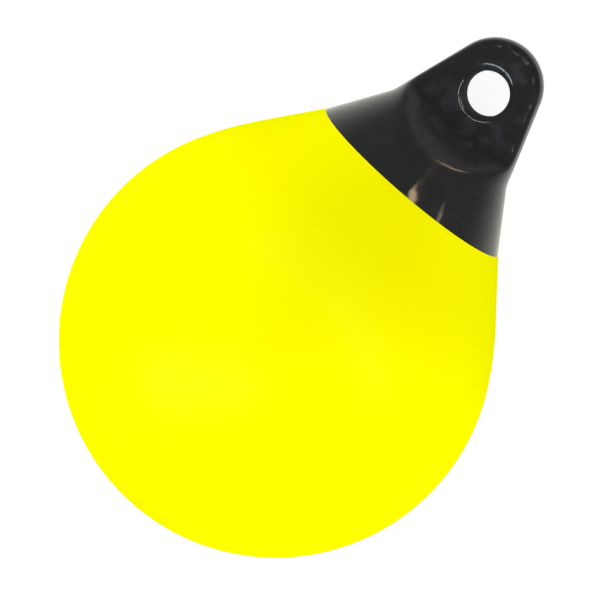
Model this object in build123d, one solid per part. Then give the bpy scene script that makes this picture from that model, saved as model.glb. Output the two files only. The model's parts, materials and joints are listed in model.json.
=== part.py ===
from build123d import *
import os
from math import cos, radians, sin, sqrt, tan

# An inflatable teardrop marker buoy: a hollow vinyl body with a moulded rope-eye head bonded over its neck,
# and a screw-plug inflation valve in the back of the head.
# It is modelled along its own axis: Z from the ball's centre towards the eye, Y along the eye's hole,
# and X across. The finished pieces are then laid down as the buoy rests on a floor (see "Parked").
# Millimetres and degrees. A "rise" is a height above the joint between body and head.

# ---- Driving dimensions: body
ball_radius = 152.5
body_wall = 3.0
shoulder_radius = 255.0  # the flatter arc between the ball and the straight cone
shoulder_start = 29.0  # angle above the ball's equator where the ball ends
cone_angle = 38.6  # the body cone's half-angle, and the angle where the shoulder ends
joint_radius = 78.7  # outside radius where body and head meet
neck_taper = 12.0  # height over which the body's wall thickens to the neck

# ---- Driving dimensions: lap joint between body and head
skirt = 4.0  # width of the head's rim that overlaps the neck
spigot = 3.6  # width of the body's neck inside that rim
lap = 8.0  # height of the overlap
bond_gap = 0.15  # adhesive film round the spigot
end_gap = 0.3  # room above the spigot's end

# ---- Driving dimensions: head
head_angle = 33.5  # half-angle of the head's cone
flank_angle = 18.5  # half-angle of the eye lobe's flanks
flank_blend = 22.0  # hollow radius between the cone and the flanks
lobe_radius = 34.0  # radius of the lobe's round top
eye_rise = 81.7
lobe_lift = 6.8  # how far the lobe's centre lies beyond the eye's
eye_radius = 16.0  # the eye's throat
eye_round = 6.0  # rounding of the eye's two mouths
slab = 29.0  # thickness of the lobe between its two faces
scoop_rise = 30.5  # the lowest point of each scoop's rim
scoop_angle = 60.0  # how steeply a scoop climbs from the lobe's face to its rim
scoop_hollow = 9.0  # hollow radius between the lobe's face and that climb
rim_round = 8.0  # rounding where the scoops meet the outside
roof = 9.0  # how far the air space stays below the scoops' rims
roof_blend = 14.0  # radius inside, between the head's wall and its roof

# ---- Driving dimensions: valve
flange_radius = 8.6
flange_height = 2.4
flange_sink = 1.6  # depth of the flange's seat in the head
stem_radius = 4.6
stem_end = 4.0  # how far the stem stands out inside
seat_depth = 1.2  # recess in the flange for the gasket and the plug
seat_radius = 6.3
gasket_height = 0.8
plug_radius = 6.0
plug_height = 1.8
shank_radius = 3.0
shank_length = 8.0
slot_width = 1.5
slot_depth = 1.0
fit = 0.1  # radial clearance of each valve piece in the next
edge_round = 0.5  # on the outer edges of the flange and the plug
tolerance = 0.01

# ---- Places worked out from the sizes above
head_slope = tan(radians(head_angle))
body_slope = tan(radians(cone_angle))


def polar(radius, angle, centre=(0, 0)):
    """A point (r, z) at an angle above the horizontal, round a centre."""
    return (centre[0] + radius * cos(radians(angle)), centre[1] + radius * sin(radians(angle)))


shoulder_centre = polar(ball_radius - shoulder_radius, shoulder_start)
shoulder_end = polar(shoulder_radius, cone_angle, shoulder_centre)
joint_z = shoulder_end[1] + (shoulder_end[0] - joint_radius) / body_slope
neck_width = skirt + bond_gap + spigot
eye_z = joint_z + eye_rise
lobe_z = eye_z + lobe_lift
tip_z = lobe_z + lobe_radius
cavity_top = joint_z + scoop_rise - roof


def on_cone(rise, inset=0.0):
    """A point (r, z) on the head's cone, moved inwards by an inset."""
    return (joint_radius - rise * head_slope - inset, joint_z + rise)


# ---- Body
def body_outline():
    """The closed half-section of the hollow body, from the pole to the spigot."""
    wall_width = body_wall / cos(radians(cone_angle))
    inner_ball = ball_radius - body_wall
    inner_shoulder = shoulder_radius - body_wall
    sweep = cone_angle - shoulder_start
    taper_foot = (joint_radius + neck_taper * body_slope - wall_width, joint_z - neck_taper)
    neck = [
        shoulder_end,
        on_cone(0),
        on_cone(0, skirt + bond_gap),
        on_cone(lap, skirt + bond_gap),
        on_cone(lap, neck_width),
        on_cone(0, neck_width),
        taper_foot,
        polar(inner_shoulder, cone_angle, shoulder_centre),
    ]
    return [
        CenterArc((0, 0), ball_radius, -90, 90 + shoulder_start),
        CenterArc(shoulder_centre, shoulder_radius, shoulder_start, sweep),
        Polyline(neck),
        CenterArc(shoulder_centre, inner_shoulder, shoulder_start, sweep),
        CenterArc((0, 0), inner_ball, -90, 90 + shoulder_start),
        Line((0, -inner_ball), (0, -ball_radius)),
    ]


def turned(lines):
    """A closed half-section in (r, z), turned round the buoy's axis."""
    edges = [edge for line in lines for edge in line.edges()]
    return revolve(Plane.XZ * make_face(edges), Axis.Z)


# ---- Head
def head_blank():
    """The head before its scoops, eye and hollow: a cone that runs up into a round-topped lobe."""
    flank_slope = tan(radians(flank_angle))
    flank_top = polar(lobe_radius, flank_angle, (0, lobe_z))
    # the cone and the flank are straight lines that would meet at this corner
    flank_at_joint = flank_top[0] + (flank_top[1] - joint_z) * flank_slope
    corner = on_cone((joint_radius - flank_at_joint) / (head_slope - flank_slope))
    return turned(
        [
            FilletPolyline([on_cone(0), corner, flank_top], radius=flank_blend),
            CenterArc((0, lobe_z), lobe_radius, flank_angle, 90 - flank_angle),
            Polyline([(0, tip_z), (0, joint_z), on_cone(0)]),
        ]
    )


def scoop():
    """What is cut from the +Y side: straight along X, and in side view a face that climbs out to the rim."""
    rim = on_cone(scoop_rise)
    climb = (sin(radians(scoop_angle)), -cos(radians(scoop_angle)))
    outer = (rim[0] + ball_radius * climb[0], rim[1] + ball_radius * climb[1])
    corner = (slab / 2, rim[1] + (rim[0] - slab / 2) / tan(radians(scoop_angle)))
    above = tip_z + slab
    edge = FilletPolyline([outer, corner, (slab / 2, above)], radius=scoop_hollow)
    outside = Polyline([(slab / 2, above), (outer[0], above), outer])
    side = Plane.YZ.offset(-ball_radius) * make_face([*edge.edges(), *outside.edges()])
    return extrude(side, amount=2 * ball_radius)


def touches(edge, shapes):
    """Whether the middle of an edge lies on any of the shapes."""
    middle = Vertex(*(edge @ 0.5))
    return min(shape.distance_to(middle) for shape in shapes) < tolerance


def cavity():
    """The air space under the head's roof, with the socket for the body's spigot at its mouth."""
    inner_top = on_cone(scoop_rise - roof, neck_width)
    socket_rise = lap + end_gap
    hollow = turned(
        [
            Polyline(
                [
                    (0, joint_z),
                    on_cone(0, skirt),
                    on_cone(socket_rise, skirt),
                    on_cone(socket_rise, neck_width),
                    inner_top,
                    (0, cavity_top),
                    (0, joint_z),
                ]
            )
        ]
    )
    roof_edge = hollow.edges().filter_by(GeomType.CIRCLE).sort_by(Axis.Z)[-1]
    return fillet(roof_edge, roof_blend)


def eye_head():
    """The moulded head: the lobe left between two scoops, its round-mouthed eye, and the hollow skirt."""
    blank = head_blank()
    outside = [face for face in blank.faces() if face.center().Z > joint_z + tolerance]
    cuts = [scoop(), mirror(scoop(), Plane.XZ)]
    head = blank - cuts[0] - cuts[1]
    rims = [edge for edge in head.edges() if touches(edge, outside) and touches(edge, cuts)]
    head = fillet(rims, rim_round)
    throat = Pos(0, 0, eye_z) * Cylinder(eye_radius, 2 * joint_radius, rotation=(90, 0, 0))
    head -= throat
    bore = min(head.faces().filter_by(GeomType.CYLINDER), key=lambda face: abs(face.radius - eye_radius))
    mouths = [edge for edge in bore.edges() if edge not in bore.edges().filter_by(Axis.Y)]
    head = fillet(mouths, eye_round)
    head -= cavity()
    seat = cylinder_on_valve(flange_radius + fit, -flange_sink, flange_height)
    hole = cylinder_on_valve(stem_radius + fit, -stem_foot, 0)
    return head - seat - hole


# ---- Valve, on the back of the head's cone
# Up the cone's slope it has room from where its stem clears the neck to where its flange meets the rim's rounding.
valve_low = lap / cos(radians(head_angle)) + neck_width * sin(radians(head_angle)) + stem_radius
rim_spread = rim_round * tan(radians(scoop_angle - head_angle) / 2)
valve_high = scoop_rise / cos(radians(head_angle)) - rim_spread - flange_radius
valve_rise = (valve_low + valve_high) / 2 * cos(radians(head_angle))
valve_point = on_cone(valve_rise)
valve_plane = Plane(
    origin=(0, -valve_point[0], valve_point[1]),
    x_dir=(1, 0, 0),
    z_dir=(0, -cos(radians(head_angle)), sin(radians(head_angle))),
)
stem_foot = neck_width * cos(radians(head_angle)) + stem_end
seat_floor = flange_height - flange_sink - seat_depth
plug_foot = seat_floor + gasket_height
plug_top = plug_foot + plug_height


def cylinder_on_valve(radius, bottom, top):
    """A cylinder on the valve's axis, between two heights over the head's surface."""
    return valve_plane.offset(bottom) * extrude(Circle(radius), amount=top - bottom)


def valve_housing():
    """The flanged insert that is pressed through the head's wall."""
    flange = cylinder_on_valve(flange_radius, -flange_sink, flange_height - flange_sink)
    flange = fillet(flange.edges().sort_by(valve_plane.location.z_axis)[-1], edge_round)
    stem = cylinder_on_valve(stem_radius, -stem_foot, -flange_sink)
    recess = cylinder_on_valve(seat_radius, seat_floor, flange_height)
    bore = cylinder_on_valve(shank_radius + fit, -2 * stem_foot, flange_height)
    return flange + stem - recess - bore


def valve_gasket():
    """The ring that the plug is screwed down on."""
    ring = cylinder_on_valve(plug_radius, seat_floor, plug_foot)
    return ring - cylinder_on_valve(shank_radius + fit, seat_floor, plug_foot)


def valve_plug():
    """The slotted screw plug, without its thread."""
    head = cylinder_on_valve(plug_radius, plug_foot, plug_top)
    head = fillet(head.edges().sort_by(valve_plane.location.z_axis)[-1], edge_round)
    shank = cylinder_on_valve(shank_radius, plug_foot - shank_length, plug_foot)
    slot = valve_plane.offset(plug_top - slot_depth) * extrude(
        Rectangle(2 * plug_radius, slot_width), amount=2 * slot_depth
    )
    return head + shank - slot


# ---- Parked: the buoy lies on its shoulder and on the lower edge of the lobe, or on the plug if that is lower,
# with one of the eye's mouths up.
# The lobe's edge near the tip is a ball of rim_round whose centre rolls inside both its faces.
edge_y = slab / 2 - rim_round
edge_z = lobe_z + sqrt((lobe_radius - rim_round) ** 2 - edge_y**2)


def body_reach(droop):
    """How far the body reaches below the ball's centre when its axis droops by this angle."""
    if droop < shoulder_start:
        return ball_radius
    r, z = shoulder_centre
    return r * cos(radians(droop)) + z * sin(radians(droop)) + shoulder_radius


def lobe_reach(droop):
    """How far the lobe's lower edge reaches below the ball's centre at this droop."""
    return edge_y * cos(radians(droop)) + edge_z * sin(radians(droop)) + rim_round


def plug_reach(droop):
    """How far the plug's face reaches below the ball's centre at this droop."""
    r, z = valve_point
    r += plug_top * cos(radians(head_angle))
    z += plug_top * sin(radians(head_angle))
    edge = plug_radius * abs(sin(radians(droop - head_angle)))
    return r * cos(radians(droop)) + z * sin(radians(droop)) + edge


def resting_droop():
    """The angle at which the body and the lobe or plug reach the floor together, by halving."""
    low, high = 0.0, 60.0
    while high - low > 1e-9:
        middle = (low + high) / 2
        if max(lobe_reach(middle), plug_reach(middle)) < body_reach(middle):
            low = middle
        else:
            high = middle
    return low


droop = resting_droop()
front = edge_y * sin(radians(droop)) + edge_z * cos(radians(droop)) + rim_round
parked = Plane(
    origin=((ball_radius - front) / 2, 0, body_reach(droop)),
    x_dir=(0, 1, 0),
    z_dir=(cos(radians(droop)), 0, -sin(radians(droop))),
)

pieces = {
    "body_shell": turned(body_outline()),
    "eye_head": eye_head(),
    "valve_housing": valve_housing(),
    "valve_gasket": valve_gasket(),
    "valve_plug": valve_plug(),
}

os.makedirs("parts", exist_ok=True)
for name, piece in pieces.items():
    export_step(parked.location * piece, f"parts/{name}.step")

eye_centre = parked.location * Pos(0, 0, eye_z)
print("droop", round(droop, 3), "joint_z", round(joint_z, 3), "tip_z", round(tip_z, 3))
print("eye centre", [round(value, 3) for value in eye_centre.position])
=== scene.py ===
import json
import math

import bpy
from bpy.props import FloatProperty, FloatVectorProperty, PointerProperty
from bpy.types import Operator, Panel, PropertyGroup
from mathutils import Matrix, Vector


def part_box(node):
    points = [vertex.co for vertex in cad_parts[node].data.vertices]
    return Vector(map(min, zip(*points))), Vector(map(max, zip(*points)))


bl_info = {
    "name": "Teardrop marker buoy",
    "version": (1, 0, 0),
    "blender": (4, 5, 0),
    "location": "View3D > Sidebar > Buoy",
    "description": "Finishes an inflatable vinyl buoy and its rope-eye head, in a plain studio",
    "category": "Object",
}

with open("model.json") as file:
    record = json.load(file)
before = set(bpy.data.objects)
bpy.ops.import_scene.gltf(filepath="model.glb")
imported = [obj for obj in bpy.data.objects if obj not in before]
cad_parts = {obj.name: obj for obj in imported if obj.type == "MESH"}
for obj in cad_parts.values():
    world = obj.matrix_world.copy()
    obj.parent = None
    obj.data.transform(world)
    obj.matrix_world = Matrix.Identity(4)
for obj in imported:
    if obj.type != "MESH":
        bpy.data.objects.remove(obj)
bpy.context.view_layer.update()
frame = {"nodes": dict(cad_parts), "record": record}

# The buoy's own places and directions, read from the frame
body_low, body_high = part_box("body_shell")
ball_radius = (body_high.y - body_low.y) / 2
ball_centre = Vector((body_low.x + ball_radius, 0, body_high.z - ball_radius))
eye_mount = next(m for m in frame["record"]["mounts"] if m["name"] == "rope_eye")
facing = Vector(eye_mount["axis"]).normalized()
across = Vector((0, 1, 0))
along = across.cross(facing)
eye_centre = Vector(eye_mount["pos_m"])
eye_radius = eye_mount["dims"]["r_mm"] / 1000


# ---------------------------------------------------------------- settings


class BodySettings(PropertyGroup):
    """Yellow vinyl of the inflated body."""

    colour: FloatVectorProperty(
        name="Colour", description="Yellow of the vinyl", subtype="COLOR", size=3,
        min=0, max=1, default=(1.0, 0.985, 0.0),
    )
    shade: FloatVectorProperty(
        name="Shade", description="Slightly deeper yellow that clouds the vinyl",
        subtype="COLOR", size=3, min=0, max=1, default=(1.0, 0.95, 0.0),
    )
    roughness: FloatProperty(
        name="Roughness", description="Roughness of the moulded skin", default=0.34, min=0, max=1,
    )
    shine: FloatProperty(
        name="Shine", description="Strength of the soft shine where the skin faces the view",
        default=0.003, min=0, max=1,
    )
    shine_tint: FloatVectorProperty(
        name="Shine tint", description="Colour of the soft shine", subtype="COLOR", size=3,
        min=0, max=1, default=(1.0, 0.95, 0.35),
    )
    peel_size: FloatProperty(
        name="Orange peel size", description="Width of the skin's fine dimples",
        default=0.0022, min=0.0002, subtype="DISTANCE", unit="LENGTH",
    )
    peel_depth: FloatProperty(
        name="Orange peel depth", description="Depth of the skin's fine dimples",
        default=0.000035, min=0, subtype="DISTANCE", unit="LENGTH",
    )
    swell_depth: FloatProperty(
        name="Swell depth", description="Depth of the slow waves in the inflated wall",
        default=0.0006, min=0, subtype="DISTANCE", unit="LENGTH",
    )


class HeadSettings(PropertyGroup):
    """Black vinyl of the moulded head."""

    colour: FloatVectorProperty(
        name="Colour", description="Black of the vinyl", subtype="COLOR", size=3,
        min=0, max=1, default=(0.0195, 0.0195, 0.0195),
    )
    roughness: FloatProperty(
        name="Roughness", description="Roughness of the glossy skin", default=0.06, min=0, max=1,
    )
    shine: FloatProperty(
        name="Shine", description="Strength of the reflection where the skin faces the view",
        default=0.03, min=0, max=1,
    )
    edge_shine: FloatProperty(
        name="Edge shine", description="Strength of the reflection towards the outline",
        default=0.175, min=0, max=1,
    )
    scoop_shine: FloatProperty(
        name="Scoop shine", description="Strength of the reflection in the scoop, where nothing rubs",
        default=0.09, min=0, max=1,
    )
    worn_shine: FloatProperty(
        name="Worn shine", description="Strength of the reflection towards the outline of the rubbed rim",
        default=0.07, min=0, max=1,
    )
    throat_roughness: FloatProperty(
        name="Throat roughness", description="Roughness inside the eye, where the mould's pin was",
        default=0.75, min=0, max=1,
    )
    scuff: FloatVectorProperty(
        name="Scuff colour", description="Grey of the hairline scuffs", subtype="COLOR", size=3,
        min=0, max=1, default=(0.034, 0.034, 0.036),
    )
    # Painted reflection: this blue-grey, mixed into the black near the eye, stands in for a soft cool light
    # mirrored in the wavy skin
    painted_reflection: FloatVectorProperty(
        name="Bloom colour", description="Blue-grey of the faint haze patches", subtype="COLOR", size=3,
        min=0, max=1, default=(0.034, 0.035, 0.039),
    )
    worn_roughness: FloatProperty(
        name="Worn roughness", description="Roughness of the rubbed rim round the lobe",
        default=0.2, min=0, max=1,
    )
    ripple_size: FloatProperty(
        name="Ripple size", description="Length of the moulding's soft ripples",
        default=0.028, min=0.002, subtype="DISTANCE", unit="LENGTH",
    )
    ripple_depth: FloatProperty(
        name="Ripple depth", description="Height of the moulding's soft ripples",
        default=0.00025, min=0, subtype="DISTANCE", unit="LENGTH",
    )


class ValveSettings(PropertyGroup):
    """Plastic and rubber of the inflation valve."""

    colour: FloatVectorProperty(
        name="Plastic colour", description="Dark grey of the moulded insert and plug",
        subtype="COLOR", size=3, min=0, max=1, default=(0.03, 0.03, 0.033),
    )
    rubber: FloatVectorProperty(
        name="Rubber colour", description="Black of the gasket", subtype="COLOR", size=3,
        min=0, max=1, default=(0.018, 0.018, 0.018),
    )


class StudioSettings(PropertyGroup):
    """Camera, lamps and floor."""

    lean: FloatProperty(
        name="Lean", description="How far the view leans from the eye's axis towards the buoy's tip",
        default=math.radians(9.745), subtype="ANGLE", unit="ROTATION",
    )
    turn: FloatProperty(
        name="Turn", description="How far the view turns round the buoy's own axis",
        default=math.radians(-4.664), subtype="ANGLE", unit="ROTATION",
    )
    roll: FloatProperty(
        name="Roll", description="Angle of the buoy's axis above the view's horizontal",
        default=math.radians(49.319), subtype="ANGLE", unit="ROTATION",
    )
    distance: FloatProperty(
        name="Distance", description="From the camera to the point it is aimed at",
        default=3.0, min=0.5, subtype="DISTANCE", unit="LENGTH",
    )
    lens: FloatProperty(
        name="Lens", description="Focal length", default=256.18, min=20, subtype="DISTANCE_CAMERA",
    )
    aim: FloatVectorProperty(
        name="Aim", description="How far right of and above the ball's centre the view is aimed",
        size=2, default=(0.016906, 0.028505), subtype="XYZ", unit="LENGTH",
    )
    floor_size: FloatProperty(
        name="Floor size", description="Length of the floor's sides",
        default=12.0, min=1, subtype="DISTANCE", unit="LENGTH",
    )
    floor_paint: FloatProperty(
        name="Floor paint", description="Brightness of the floor's matt paint", default=0.5, min=0, max=1,
    )
    floor_glow: FloatProperty(
        name="Floor glow", description="Brightness added to the floor where it is seen or mirrored",
        default=0.78, min=0, max=1,
    )
    surround: FloatProperty(
        name="Surround", description="Brightness of the room round the buoy", default=0.95, min=0,
    )
    lamp_distance: FloatProperty(
        name="Lamp distance", description="From the ball's centre to each large soft lamp",
        default=2.2, min=0.5, subtype="DISTANCE", unit="LENGTH",
    )
    lamp_size: FloatProperty(
        name="Lamp size", description="Length of each large soft lamp's sides",
        default=1.0, min=0.01, subtype="DISTANCE", unit="LENGTH",
    )
    key: FloatProperty(
        name="Key lamp", description="Power of the large soft lamp above the camera",
        default=3.6, min=0, subtype="POWER",
    )
    fill: FloatProperty(
        name="Fill lamps", description="Power of each soft lamp at the sides",
        default=16.0, min=0, subtype="POWER",
    )
    glint: FloatProperty(
        name="Glints", description="Brightness of the thin lamps that show only as reflections",
        default=200.0, min=0,
    )


# ---------------------------------------------------------------- shader nodes

# Parts of a noise's range over which it takes effect, from those that cover most to the sparsest
EVEN = (0.3, 0.7)
CLOUDY = (0.35, 0.7)
PATCHY = (0.45, 0.75)
STREAKY = (0.5, 0.7)
SPARSE = (0.72, 0.76)

VINYL_IOR = 1.5


class Shader:
    """Builds one node material, and keeps its calls short."""

    def __init__(self, name):
        self.material = bpy.data.materials.new(name)
        self.material.use_nodes = True
        self.tree = self.material.node_tree
        self.tree.nodes.clear()

    def add(self, kind, inputs=None, **settings):
        """Adds a node, sets its settings, and fills or links its inputs by name or number."""
        node = self.tree.nodes.new("ShaderNode" + kind)
        for name, value in settings.items():
            setattr(node, name, value)
        for key, value in (inputs or {}).items():
            if isinstance(value, bpy.types.NodeSocket):
                self.tree.links.new(value, node.inputs[key])
            else:
                node.inputs[key].default_value = value
        return node

    def math(self, operation, a, b=None, clamp=False):
        """One step of arithmetic, as its result socket."""
        inputs = {0: a} if b is None else {0: a, 1: b}
        return self.add("Math", inputs, operation=operation, use_clamp=clamp).outputs[0]

    def place(self):
        """The surface point, in metres from the ball's centre."""
        spot = self.add("TexCoord").outputs["Object"]
        return self.add("VectorMath", {0: spot, 1: ball_centre}, operation="SUBTRACT").outputs[0]

    def reach(self, spot, direction):
        """How far a point lies along a direction from the ball's centre."""
        return self.add("VectorMath", {0: spot, 1: direction}, operation="DOT_PRODUCT").outputs["Value"]

    def from_eye(self, spot):
        """How far a point lies from the axis of the eye's hole."""
        inputs = {0: spot, 1: eye_centre - ball_centre}
        offset = self.add("VectorMath", inputs, operation="SUBTRACT").outputs[0]
        squares = [self.math("POWER", self.reach(offset, way), 2.0) for way in (along, across)]
        return self.math("SQRT", self.math("ADD", *squares))

    def below_eye(self, spot):
        """How far a point lies from the eye's axis towards the body."""
        return self.math("SUBTRACT", (eye_centre - ball_centre).dot(along), self.reach(spot, along))

    def towards_outline(self):
        """0 where the skin faces the view, up to 1 where it turns away."""
        return self.add("LayerWeight", {"Blend": 0.5}).outputs["Facing"]

    def noise(self, spot, size, detail=2.0, roughness=0.5, distortion=0.0):
        """Soft noise whose blobs are about this wide, from 0 to 1."""
        inputs = {
            "Vector": spot, "Scale": 1 / size, "Detail": detail,
            "Roughness": roughness, "Distortion": distortion,
        }
        return self.add("TexNoise", inputs).outputs["Fac"]

    def span(self, value, low, high, start=0.0, end=1.0):
        """Maps a value's range onto another, and holds it at the ends."""
        inputs = {"Value": value, "From Min": low, "From Max": high, "To Min": start, "To Max": end}
        return self.add("MapRange", inputs, interpolation_type="SMOOTHSTEP").outputs["Result"]

    def rise(self, value, band):
        """0 below a band of the value, 1 above it."""
        return self.span(value, *band)

    def fall(self, value, band, rest=0.0):
        """1 below a band of the value, and the rest above it."""
        return self.span(value, *band, 1.0, rest)

    def both(self, first, second):
        """Where both of two masks hold."""
        return self.math("MULTIPLY", first, second)

    def mix(self, factor, first, second):
        """A mix of two numbers."""
        return self.add("Mix", {0: factor, 2: first, 3: second}, data_type="FLOAT").outputs[0]

    def blend(self, factor, first, second):
        """A mix of two colours."""
        return self.add("Mix", {0: factor, 6: first, 7: second}, data_type="RGBA").outputs[2]

    def bump(self, height, depth, below=None):
        """Relief whose height runs from 0 to 1 over this depth, on top of any relief below it."""
        inputs = {"Height": height, "Distance": depth, "Strength": 1.0}
        if below is not None:
            inputs["Normal"] = below
        return self.add("Bump", inputs).outputs["Normal"]

    def finish(self, inputs):
        """Ends in a principled surface."""
        surface = self.add("BsdfPrincipled", inputs)
        end = self.add("OutputMaterial", {"Surface": surface.outputs[0]})
        end.is_active_output = True
        return self.material


def mould_line(shader, spot, width):
    """The line where the mould parted, midway between the two faces: 1 on it, 0 beyond its width."""
    distance = shader.math("ABSOLUTE", shader.reach(spot, facing))
    return shader.fall(distance, (0.0, width))


def hairlines(shader, spot, direction, length, width):
    """Sparse thin lines, some along the direction given and some square to it."""
    found = []
    for way in (direction, direction.cross(facing)):
        shift = shader.add("VectorMath", {0: way, 3: shader.reach(spot, way)}, operation="SCALE").outputs[0]
        flat = shader.add("VectorMath", {0: spot, 1: shift}, operation="SUBTRACT").outputs[0]
        thin = shader.add("VectorMath", {0: shift, 3: length / width}, operation="SCALE").outputs[0]
        place = shader.add("VectorMath", {0: flat, 1: thin}, operation="ADD").outputs[0]
        found.append(shader.rise(shader.noise(place, length, detail=1.0), SPARSE))
    return shader.math("MAXIMUM", *found)


def wear(node, material):
    """Gives a CAD piece its material."""
    piece = frame["nodes"][node]
    piece.data.materials.clear()
    piece.data.materials.append(material)


def colour4(colour):
    """The colour with full opacity, as a socket takes it."""
    return (*colour, 1.0)


# ---------------------------------------------------------------- pieces

# Sizes in the body's finish, in metres
BODY_CLOUD = 0.11
BODY_MOTTLE = 0.035
BODY_WAVE = 0.09
BODY_SEAM_WIDTH, BODY_SEAM_HEIGHT = 0.0009, 0.00018

BODY_POLISHED, BODY_DULLED = -0.04, 0.05  # change of roughness in the mottles
BODY_SHINE_ENDS = (0.2, 0.75)  # how far round to the outline the shine fades


class BUOY_OT_body(Operator):
    """Finish the inflated body in yellow vinyl"""

    bl_idname = "buoy.body"
    bl_label = "Finish the body"

    def execute(self, context):
        look = context.scene.buoy_body
        vinyl = Shader("yellow_vinyl")
        spot = vinyl.place()
        clouds = vinyl.rise(vinyl.noise(spot, BODY_CLOUD, detail=3.0), CLOUDY)
        tint = vinyl.blend(clouds, colour4(look.colour), colour4(look.shade))
        mottles = vinyl.noise(spot, BODY_MOTTLE, detail=4.0)
        gloss = vinyl.span(mottles, *EVEN, look.roughness + BODY_POLISHED, look.roughness + BODY_DULLED)
        swell = vinyl.bump(vinyl.noise(spot, BODY_WAVE, detail=1.0), look.swell_depth)
        seam = vinyl.bump(mould_line(vinyl, spot, BODY_SEAM_WIDTH), BODY_SEAM_HEIGHT, swell)
        peel = vinyl.bump(vinyl.noise(spot, look.peel_size, detail=3.0), look.peel_depth, seam)
        shine = vinyl.span(vinyl.towards_outline(), *BODY_SHINE_ENDS, look.shine, 0.0)
        material = vinyl.finish({
            "Base Color": tint, "Roughness": gloss, "Normal": peel,
            "IOR": VINYL_IOR, "Specular IOR Level": shine, "Specular Tint": colour4(look.shine_tint),
        })
        wear("body_shell", material)
        return {"FINISHED"}


def beyond_eye(start, width):
    """A band that starts this far beyond the wall of the eye's hole, and is this wide."""
    return eye_radius + start, eye_radius + start + width


# Bands over which the head's finish changes, all round the eye
THROAT_TO_MOUTH = beyond_eye(0.0005, 0.0015)
MOUTH_TO_FACE = beyond_eye(0.0055, 0.001)
FACE_TO_RIM = beyond_eye(0.0105, 0.0035)
LOBE_TO_CONE = beyond_eye(0.034, 0.015)
# Band over which the painted reflection patches fade from the lobe onto the cone
PAINTED_REFLECTION_FADES = beyond_eye(0.014, 0.025)
SCOOP_TO_SIDES = beyond_eye(0.033, 0.007)

# Bands over which it changes from the eye towards the body
HOLLOW_TOP = beyond_eye(0.0045, 0.0015)
HOLLOW_FOOT = beyond_eye(0.02, 0.008)
SCOOP_TOP = beyond_eye(0.012, 0.006)

# Sizes in the head's finish, in metres
HEAD_HAZE = 0.012
# Width of the painted reflection patches
PAINTED_REFLECTION_SIZE = 0.013
HEAD_STREAK = 0.007
HEAD_GRAIN, HEAD_GRAIN_DEPTH = 0.0016, 0.000015
HEAD_SEAM_WIDTH, HEAD_SEAM_HEIGHT = 0.0007, 0.00015
SCUFF_LENGTH, SCUFF_WIDTH = 0.03, 0.0006

HEAD_DULLED = 0.05  # roughness that the haze adds
PAINTED_REFLECTION_ON_CONE = 0.25  # share of the painted reflection patches that is left on the cone
STREAK_SHINE = 0.6  # the rubbed rim's streaks, as a share of the plain skin's shine
HEAD_SHINE_ENDS = (0.3, 0.65)  # how far round to the outline the shine changes


class BUOY_OT_head(Operator):
    """Finish the moulded head in glossy black vinyl"""

    bl_idname = "buoy.head"
    bl_label = "Finish the head"

    def execute(self, context):
        look = context.scene.buoy_head
        vinyl = Shader("black_vinyl")
        spot = vinyl.place()
        from_eye = vinyl.from_eye(spot)
        below_eye = vinyl.below_eye(spot)

        # Where the skin is rough, rubbed, hollow or scooped, each from 0 to 1
        throat = vinyl.fall(from_eye, THROAT_TO_MOUTH)
        rubbed = vinyl.both(vinyl.rise(from_eye, MOUTH_TO_FACE), vinyl.fall(from_eye, LOBE_TO_CONE))
        hollow = vinyl.both(vinyl.rise(below_eye, HOLLOW_TOP), vinyl.fall(below_eye, HOLLOW_FOOT))
        scoop = vinyl.both(vinyl.rise(below_eye, SCOOP_TOP), vinyl.fall(from_eye, SCOOP_TO_SIDES))

        haze = vinyl.noise(spot, HEAD_HAZE, detail=5.0, roughness=0.6)
        gloss = vinyl.span(haze, *PATCHY, look.roughness, look.roughness + HEAD_DULLED)
        gloss = vinyl.mix(rubbed, gloss, look.worn_roughness)
        gloss = vinyl.mix(throat, gloss, look.throat_roughness)

        # Painted reflection: blue-grey patches in the colour round the eye, fading onto the cone, stand in
        # for a soft cool light mirrored in the skin
        painted_reflection_patches = vinyl.rise(vinyl.noise(spot, PAINTED_REFLECTION_SIZE, detail=2.5, distortion=0.4), PATCHY)
        painted_reflection_patches = vinyl.both(painted_reflection_patches, vinyl.fall(from_eye, PAINTED_REFLECTION_FADES, PAINTED_REFLECTION_ON_CONE))
        tint = vinyl.blend(painted_reflection_patches, colour4(look.colour), colour4(look.painted_reflection))
        scuffs = hairlines(vinyl, spot, along, SCUFF_LENGTH, SCUFF_WIDTH)
        tint = vinyl.blend(scuffs, tint, colour4(look.scuff))

        # The shine where the skin faces the view, and the shine towards the outline
        streaks = vinyl.span(vinyl.noise(spot, HEAD_STREAK), *STREAKY, 0.0, look.shine * STREAK_SHINE)
        streaks = vinyl.both(streaks, vinyl.math("SUBTRACT", 1.0, hollow))
        streaks = vinyl.both(streaks, vinyl.rise(from_eye, FACE_TO_RIM))
        least = vinyl.mix(rubbed, look.shine, streaks)
        least = vinyl.mix(scoop, least, look.scoop_shine)
        most = vinyl.span(rubbed, 0.0, 1.0, look.edge_shine, look.worn_shine)
        shine = vinyl.span(vinyl.towards_outline(), *HEAD_SHINE_ENDS, least, most)
        shine = vinyl.mix(throat, shine, look.shine)

        ripples = vinyl.noise(spot, look.ripple_size, detail=1.0, distortion=0.4)
        ripples = vinyl.bump(ripples, look.ripple_depth)
        seam = vinyl.bump(mould_line(vinyl, spot, HEAD_SEAM_WIDTH), HEAD_SEAM_HEIGHT, ripples)
        grain = vinyl.bump(vinyl.noise(spot, HEAD_GRAIN), HEAD_GRAIN_DEPTH, seam)
        material = vinyl.finish({
            "Base Color": tint, "Roughness": gloss, "Normal": grain,
            "IOR": VINYL_IOR, "Specular IOR Level": shine,
        })
        wear("eye_head", material)
        return {"FINISHED"}


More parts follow.
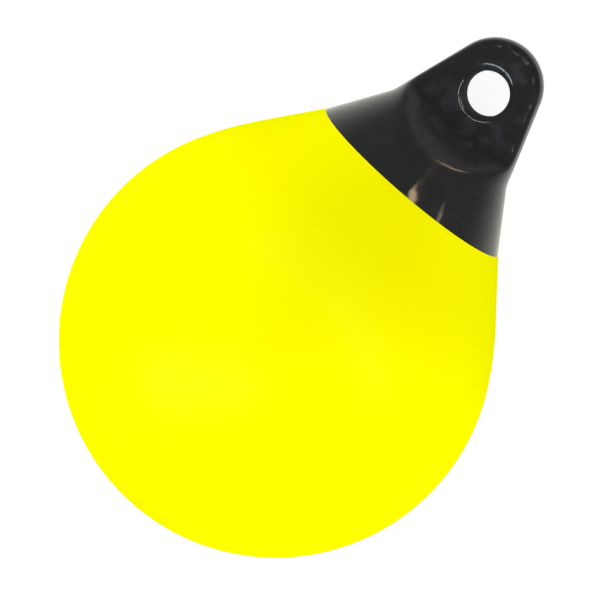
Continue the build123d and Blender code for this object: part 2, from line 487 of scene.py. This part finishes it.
# Sizes in the valve's finish, in metres
PLASTIC_CLOUD = 0.006
PLASTIC_GRAIN, PLASTIC_GRAIN_DEPTH = 0.0006, 0.00002
RUBBER_CLOUD, RUBBER_CLOUD_DEPTH = 0.002, 0.00003

PLASTIC_ROUGHNESS = (0.38, 0.5)  # satin, from its smoothest to its dullest
RUBBER_ROUGHNESS = (0.7, 0.85)
PLASTIC_PALE, RUBBER_PALE = 1.5, 1.6  # how much brighter the palest clouds are
PLASTIC_IOR, RUBBER_IOR = 1.49, 1.52


def paler(colour, by):
    """The colour, this many times as bright."""
    return colour4([channel * by for channel in colour])


class BUOY_OT_valve(Operator):
    """Finish the inflation valve in satin plastic and matt rubber"""

    bl_idname = "buoy.valve"
    bl_label = "Finish the valve"

    def execute(self, context):
        look = context.scene.buoy_valve
        plastic = Shader("valve_plastic")
        spot = plastic.place()
        grain = plastic.noise(spot, PLASTIC_GRAIN, detail=3.0)
        clouds = plastic.noise(spot, PLASTIC_CLOUD, detail=3.0)
        material = plastic.finish({
            "Base Color": plastic.blend(clouds, colour4(look.colour), paler(look.colour, PLASTIC_PALE)),
            "Roughness": plastic.span(clouds, *EVEN, *PLASTIC_ROUGHNESS),
            "Normal": plastic.bump(grain, PLASTIC_GRAIN_DEPTH),
            "IOR": PLASTIC_IOR,
        })
        wear("valve_housing", material)
        wear("valve_plug", material)

        rubber = Shader("valve_rubber")
        clouds = rubber.noise(rubber.place(), RUBBER_CLOUD, detail=3.0)
        material = rubber.finish({
            "Base Color": rubber.blend(clouds, colour4(look.rubber), paler(look.rubber, RUBBER_PALE)),
            "Roughness": rubber.span(clouds, *EVEN, *RUBBER_ROUGHNESS),
            "Normal": rubber.bump(clouds, RUBBER_CLOUD_DEPTH),
            "IOR": RUBBER_IOR,
        })
        wear("valve_gasket", material)
        return {"FINISHED"}


# ---------------------------------------------------------------- stage


def view_directions(studio):
    """Unit vectors from the buoy towards the camera, and to the right and up as it sees them."""
    back = (
        across * (math.sin(studio.turn) * math.cos(studio.lean))
        + facing * (math.cos(studio.turn) * math.cos(studio.lean))
        + along * math.sin(studio.lean)
    )
    axis = (along - back * along.dot(back)).normalized()
    side = axis.cross(back)
    right = axis * math.cos(studio.roll) + side * math.sin(studio.roll)
    up = axis * math.sin(studio.roll) - side * math.cos(studio.roll)
    return back, right, up


WHITE = (1.0, 1.0, 1.0)


def add_lamp(name, place, target, size, power, colour=WHITE):
    """A flat lamp of this length and width, aimed at a point."""
    lamp = bpy.data.lights.new(name, "AREA")
    lamp.shape = "RECTANGLE"
    lamp.size, lamp.size_y = size
    lamp.energy = power
    lamp.color = colour
    holder = bpy.data.objects.new(name, lamp)
    holder.location = place
    holder.rotation_euler = (Vector(target) - Vector(place)).to_track_quat("-Z", "Y").to_euler()
    bpy.context.scene.collection.objects.link(holder)
    return holder


def heading(azimuth, elevation):
    """A place 1 m away in this direction, in degrees from +X towards +Y and above the floor."""
    azimuth, elevation = math.radians(azimuth), math.radians(elevation)
    level = math.cos(elevation)
    return Vector((level * math.cos(azimuth), level * math.sin(azimuth), math.sin(elevation)))


# How far the key lamp stands above and left of the view's own line, for each metre towards the camera
KEY_RISE, KEY_SHIFT = 0.3, 0.3

# The directions of the fill lamps, one on each side and a little behind
FILL_NEAR, FILL_FAR = Vector((-0.1, -1, 0.12)), Vector((-0.1, 1, 0.12))

# The thin lamps, in metres: place from the eye's centre, size, brightness and colour
WARM, COOL = (1.0, 0.72, 0.45), (0.75, 0.86, 1.0)
GLINTS = {
    "strip_near": (heading(-36, 21), (1.5, 0.09), 1.0, COOL),
    "strip_far": (heading(24, 21), (0.66, 0.09), 1.0, COOL),
    "strip_high": (Vector((-0.13, 0.12, 1.0)), (0.3, 0.95), 0.55, COOL),
    "spot_near": (Vector((0.286, -0.266, 0.016)), (0.04, 0.004), 0.8, WARM),
    "spot_far": (Vector((0.418, -0.09, 0.088)), (0.08, 0.008), 1.3, WARM),
    "spot_low": (Vector((0.212, -0.085, -0.008)), (0.12, 0.03), 0.5, WARM),
}


def add_camera(studio):
    """The camera, level with its own view's axes and aimed near the ball's centre."""
    back, right, up = view_directions(studio)
    aim = ball_centre + right * studio.aim[0] + up * studio.aim[1]
    lens = bpy.data.cameras.new("camera")
    lens.lens = studio.lens
    camera = bpy.data.objects.new("camera", lens)
    turn = Matrix((right, up, back)).transposed()
    camera.matrix_world = Matrix.Translation(aim + back * studio.distance) @ turn.to_4x4()
    bpy.context.scene.collection.objects.link(camera)
    bpy.context.scene.camera = camera


def add_floor(studio):
    """A square floor in matt paint, which glows only where it is seen, mirrored or looked through."""
    half = studio.floor_size / 2
    sheet = bpy.data.meshes.new("floor")
    corners = [(-half, -half, 0), (half, -half, 0), (half, half, 0), (-half, half, 0)]
    sheet.from_pydata(corners, [], [(0, 1, 2, 3)])
    floor = bpy.data.objects.new("floor", sheet)
    bpy.context.scene.collection.objects.link(floor)
    paint = Shader("floor_white")
    flat = paint.add("BsdfDiffuse", {"Color": colour4([studio.floor_paint] * 3)}).outputs[0]
    glow = paint.add("Emission", {"Color": colour4(WHITE), "Strength": studio.floor_glow}).outputs[0]
    path = paint.add("LightPath").outputs
    seen = paint.math("ADD", path["Is Camera Ray"], path["Is Glossy Ray"])
    seen = paint.math("ADD", seen, path["Is Transmission Ray"], clamp=True)
    nothing = paint.add("Emission", {"Strength": 0.0}).outputs[0]
    shown = paint.add("MixShader", {0: seen, 1: nothing, 2: glow}).outputs[0]
    surface = paint.add("AddShader", {0: flat, 1: shown}).outputs[0]
    paint.add("OutputMaterial", {"Surface": surface})
    sheet.materials.append(paint.material)


def add_surround(studio):
    """A plain white room, as bright on every side."""
    world = bpy.data.worlds.new("surround")
    bpy.context.scene.world = world
    world.use_nodes = True
    backdrop = world.node_tree.nodes["Background"]
    backdrop.inputs["Color"].default_value = colour4(WHITE)
    backdrop.inputs["Strength"].default_value = studio.surround


def add_soft_lamps(studio):
    """The large lamps, which light and aren't mirrored."""
    back, right, up = view_directions(studio)
    lamps = {
        "key": (back + up * KEY_RISE - right * KEY_SHIFT, studio.key),
        "fill_near": (FILL_NEAR, studio.fill),
        "fill_far": (FILL_FAR, studio.fill),
    }
    for name, (direction, power) in lamps.items():
        place = ball_centre + direction.normalized() * studio.lamp_distance
        lamp = add_lamp(name, place, ball_centre, (studio.lamp_size, studio.lamp_size), power)
        lamp.visible_glossy = False


def add_glints(studio):
    """The thin lamps, which are mirrored and light nothing."""
    for name, (offset, size, level, colour) in GLINTS.items():
        power = studio.glint * level * math.pi * size[0] * size[1]
        lamp = add_lamp(name, eye_centre + offset, eye_centre, size, power, colour)
        lamp.visible_diffuse = False
        lamp.visible_camera = False


class BUOY_OT_studio(Operator):
    """Set the camera, the white floor, the surround and the lamps"""

    bl_idname = "buoy.studio"
    bl_label = "Set the studio"

    def execute(self, context):
        studio = context.scene.buoy_studio
        add_camera(studio)
        add_floor(studio)
        add_surround(studio)
        add_soft_lamps(studio)
        add_glints(studio)
        context.scene.view_settings.view_transform = "Standard"
        return {"FINISHED"}


# ---------------------------------------------------------------- add-on


class BUOY_PT_panel(Panel):
    """Lists the buoy's operators and their settings"""

    bl_idname = "BUOY_PT_panel"
    bl_label = "Teardrop buoy"
    bl_space_type = "VIEW_3D"
    bl_region_type = "UI"
    bl_category = "Buoy"

    def draw(self, context):
        for settings, group, operator in STEPS:
            box = self.layout.box()
            box.operator(operator.bl_idname)
            for name in group.__annotations__:
                box.prop(getattr(context.scene, settings), name)


STEPS = (
    ("buoy_body", BodySettings, BUOY_OT_body),
    ("buoy_head", HeadSettings, BUOY_OT_head),
    ("buoy_valve", ValveSettings, BUOY_OT_valve),
    ("buoy_studio", StudioSettings, BUOY_OT_studio),
)
CLASSES = (*(group for _, group, _ in STEPS), *(operator for _, _, operator in STEPS), BUOY_PT_panel)


def register():
    for cls in CLASSES:
        bpy.utils.register_class(cls)
    for name, group, _ in STEPS:
        setattr(bpy.types.Scene, name, PointerProperty(type=group))


def unregister():
    for name, _, _ in STEPS:
        delattr(bpy.types.Scene, name)
    for cls in reversed(CLASSES):
        bpy.utils.unregister_class(cls)


def main():
    register()
    bpy.ops.buoy.body()
    bpy.ops.buoy.head()
    bpy.ops.buoy.valve()
    bpy.ops.buoy.studio()


if __name__ == "__main__":
    main()
